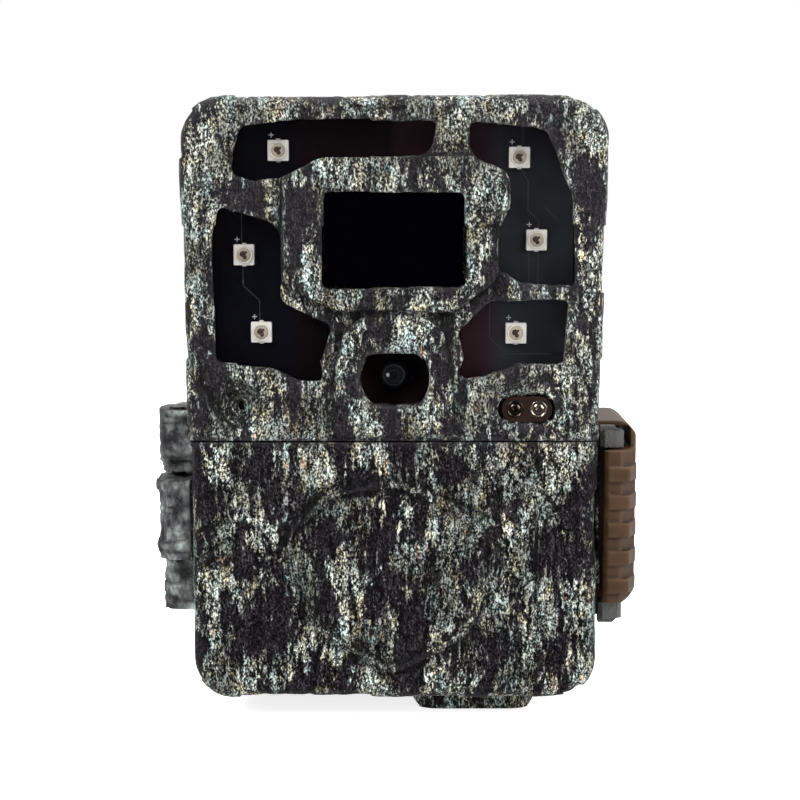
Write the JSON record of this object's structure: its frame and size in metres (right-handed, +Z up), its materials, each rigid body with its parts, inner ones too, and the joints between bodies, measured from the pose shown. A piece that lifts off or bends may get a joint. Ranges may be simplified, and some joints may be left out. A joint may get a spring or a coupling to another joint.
{
  "type": "trail camera",
  "caption": "Upright trail camera case with infrared windows, motion sensor and lens in a fixed head, hinged front door with side latch, bottom battery tray and rear strap bracket.",
  "frame": {"origin": "under the middle of the bounding box, on the surface that the case stands on", "axes": "-Y is the way the lens looks, +X is to the right in a front view, +Z is up"},
  "size_m": [0.0978, 0.0656, 0.1243],
  "materials": {
    "camo": "matte moulded plastic with a bark print",
    "dark_plastic": "matte moulded plastic",
    "brown_plastic": "satin moulded plastic",
    "orange_plastic": "satin moulded plastic",
    "key_plastic": "satin moulded plastic",
    "smoke": "glossy smoked plastic",
    "board": "printed circuit board",
    "led": "pale moulded package",
    "steel": "bright steel",
    "tin": "pressed sheet",
    "brass": "turned brass",
    "glass": "coated glass",
    "rubber": "matte rubber",
    "cell": "printed foil sleeve",
    "card": "moulded plastic",
    "screen": "glossy glass"
  },
  "bodies": {
    "case": {"rear_housing": "camo", "front_fascia": "camo", "case_screws": "steel", "led_window": "smoke", "led_board": "board", "ir_leds": "led", "pir_window": "smoke", "pir_sensor": "tin", "lens_hood": "dark_plastic", "lens_barrel": "dark_plastic", "lens_glass": "glass", "lens_holder": "dark_plastic", "sensor_board": "board", "status_window": "smoke", "status_led": "led", "light_sensor": "led", "microphone": "tin", "main_board": "board", "key_switches": "dark_plastic", "control_panel": "dark_plastic", "panel_screws": "steel", "lcd_frame": "tin", "lcd_screen": "screen", "switch_body": "dark_plastic", "sd_socket": "tin", "dc_jack": "dark_plastic", "dc_cap_pin": "steel", "tripod_insert": "brass", "door_seal": "rubber", "hinge_pin": "steel", "latch_pin": "steel", "bay_contacts": "tin", "tree_bracket": "dark_plastic", "bracket_screws": "steel"},
    "door": {"door_shell": "camo"},
    "latch": {"latch_lever": "brown_plastic"},
    "tray": {"battery_tray": "dark_plastic", "battery_cells": "cell", "tray_contacts": "tin"},
    "filter": {"ir_cut_filter": "glass"},
    "card": {"sd_card": "card"},
    "power_switch": {"power_knob": "orange_plastic"},
    "jack_cap": {"dc_cap": "rubber"},
    "key_mode_body": {"key_mode": "key_plastic"},
    "key_up_body": {"key_up": "key_plastic"},
    "key_down_body": {"key_down": "key_plastic"},
    "key_left_body": {"key_left": "key_plastic"},
    "key_right_body": {"key_right": "key_plastic"},
    "key_enter_body": {"key_enter": "orange_plastic"}
  },
  "joints": [
    {"name": "door_hinge", "type": "hinge", "parent": "case", "child": "door", "pos_m": [-0.04415, -0.01545, 0.0393], "axis": [0, 0, -1], "range_deg": [0, 115]},
    {"name": "latch_swing", "type": "hinge", "parent": "case", "child": "latch", "pos_m": [0.0435, 0.0012, 0.0397], "axis": [0, 0, 1], "range_deg": [-2.5, 100]},
    {"name": "tray_slide", "type": "slide", "parent": "case", "child": "tray", "axis": [0, 0, -1], "range_m": [0, 0.062]},
    {"name": "filter_slide", "type": "slide", "parent": "case", "child": "filter", "axis": [1, 0, 0], "range_m": [0, 0.007]},
    {"name": "card_slide", "type": "slide", "parent": "case", "child": "card", "axis": [0, -1, 0], "range_m": [-0.001, 0.004]},
    {"name": "power_slide", "type": "slide", "parent": "case", "child": "power_switch", "axis": [1, 0, 0], "range_m": [0, 0.004]},
    {"name": "jack_cap_hinge", "type": "hinge", "parent": "case", "child": "jack_cap", "pos_m": [-0.0304, -0.0138, 0.0034], "axis": [0, 1, 0], "range_deg": [0, 110]},
    {"name": "key_mode_press", "type": "slide", "parent": "case", "child": "key_mode_body", "axis": [0, 1, 0], "range_m": [0, 0.0007], "stiffness_N_per_m": 1500},
    {"name": "key_up_press", "type": "slide", "parent": "case", "child": "key_up_body", "axis": [0, 1, 0], "range_m": [0, 0.0007], "stiffness_N_per_m": 1500},
    {"name": "key_down_press", "type": "slide", "parent": "case", "child": "key_down_body", "axis": [0, 1, 0], "range_m": [0, 0.0007], "stiffness_N_per_m": 1500},
    {"name": "key_left_press", "type": "slide", "parent": "case", "child": "key_left_body", "axis": [0, 1, 0], "range_m": [0, 0.0007], "stiffness_N_per_m": 1500},
    {"name": "key_right_press", "type": "slide", "parent": "case", "child": "key_right_body", "axis": [0, 1, 0], "range_m": [0, 0.0007], "stiffness_N_per_m": 1500},
    {"name": "key_enter_press", "type": "slide", "parent": "case", "child": "key_enter_body", "axis": [0, 1, 0], "range_m": [0, 0.0007], "stiffness_N_per_m": 1500}
  ]
}
